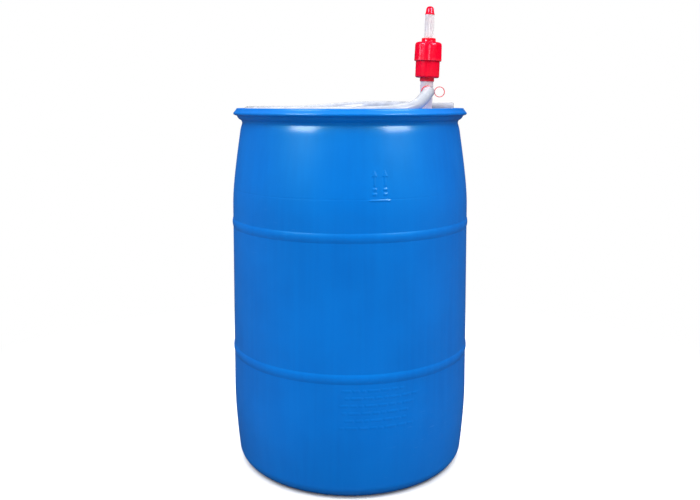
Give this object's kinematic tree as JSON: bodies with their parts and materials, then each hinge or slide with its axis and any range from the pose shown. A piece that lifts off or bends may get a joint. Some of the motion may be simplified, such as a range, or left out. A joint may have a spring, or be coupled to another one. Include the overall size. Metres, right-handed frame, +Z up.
{
  "type": "water storage barrel with siphon pump",
  "caption": "Closed-head polyethylene water barrel with rolling beads, handling ring, screw bung and a hand plunger siphon pump with coiled hose.",
  "frame": {"origin": "on the floor at the centre of the barrel's base", "axes": "+Z up the barrel's axis, +X towards the pump and its bung, -Y the front where the hose leaves the pump"},
  "size_m": [0.5966, 0.5964, 1.1382],
  "materials": {
    "barrel_plastic": "blue blow-moulded polyethylene, satin",
    "bung_plastic": "white moulded polyethylene",
    "seal_rubber": "black elastomer",
    "pump_plastic": "glossy red moulded plastic",
    "tee_plastic": "translucent white moulded plastic",
    "valve_plastic": "smooth white moulded plastic",
    "clear_vinyl": "translucent flexible vinyl",
    "clear_tube": "translucent rigid plastic"
  },
  "bodies": {
    "barrel": {"drum_shell": "barrel_plastic"},
    "bung_seat": {"bung_gasket": "seal_rubber"},
    "bung": {"bung_plug": "bung_plastic"},
    "reducer_seat": {"reducer_gasket": "seal_rubber"},
    "reducer": {"reducer_plug": "bung_plastic"},
    "pump": {"pump_housing": "pump_plastic", "pump_cap": "pump_plastic", "housing_gasket": "seal_rubber", "gland_nut": "pump_plastic", "gland_seal": "seal_rubber", "collar_nut": "pump_plastic", "tee_body": "tee_plastic", "inlet_valve_seat": "tee_plastic", "discharge_hose": "clear_vinyl", "intake_tube": "clear_tube", "intake_foot": "tee_plastic"},
    "plunger": {"plunger_knob": "pump_plastic", "plunger_tube": "clear_tube", "piston": "valve_plastic", "piston_seal": "seal_rubber"},
    "clip": {"hose_clip": "pump_plastic"},
    "inlet_ball": {"inlet_valve_ball": "valve_plastic"},
    "outlet_flap": {"outlet_valve_flap": "seal_rubber"}
  },
  "joints": [
    {"name": "pump_lift", "type": "slide", "parent": "barrel", "child": "pump", "axis": [0.0366, 0, 0.9993], "range_m": [0, 0.89]},
    {"name": "plunger_stroke", "type": "slide", "parent": "pump", "child": "plunger", "axis": [0.0366, 0, 0.9993], "range_m": [-0.055, 0]},
    {"name": "inlet_ball_lift", "type": "slide", "parent": "pump", "child": "inlet_ball", "axis": [0.0366, 0, 0.9993], "range_m": [0, 0.005]},
    {"name": "outlet_flap_swing", "type": "hinge", "parent": "pump", "child": "outlet_flap", "pos_m": [0.19396, -0.0422, 0.93296], "axis": [-1, 0, 0], "range_deg": [0, 35]},
    {"name": "clip_swivel", "type": "hinge", "parent": "pump", "child": "clip", "pos_m": [0.19396, -0.02325, 0.92338], "axis": [0, -1, 0], "range_deg": [-60, 40]},
    {"name": "bung_lift", "type": "slide", "parent": "barrel", "child": "bung_seat", "axis": [0, 0, 1], "range_m": [0, 0.024]},
    {"name": "bung_turn", "type": "hinge", "parent": "bung_seat", "child": "bung", "pos_m": [-0.198, 0, 0.86], "axis": [0, 0, 1], "range_deg": [0, 1620]},
    {"name": "reducer_lift", "type": "slide", "parent": "bung", "child": "reducer_seat", "axis": [0, 0, 1], "range_m": [0, 0.0155]},
    {"name": "reducer_turn", "type": "hinge", "parent": "reducer_seat", "child": "reducer", "pos_m": [-0.198, 0, 0.86], "axis": [0, 0, 1], "range_deg": [0, 2880]}
  ],
  "couplings": [
    {"joint": "bung_lift", "follows": "bung_turn", "m_per_rad": 0.00080851},
    {"joint": "reducer_lift", "follows": "reducer_turn", "m_per_rad": 0.00028871}
  ]
}
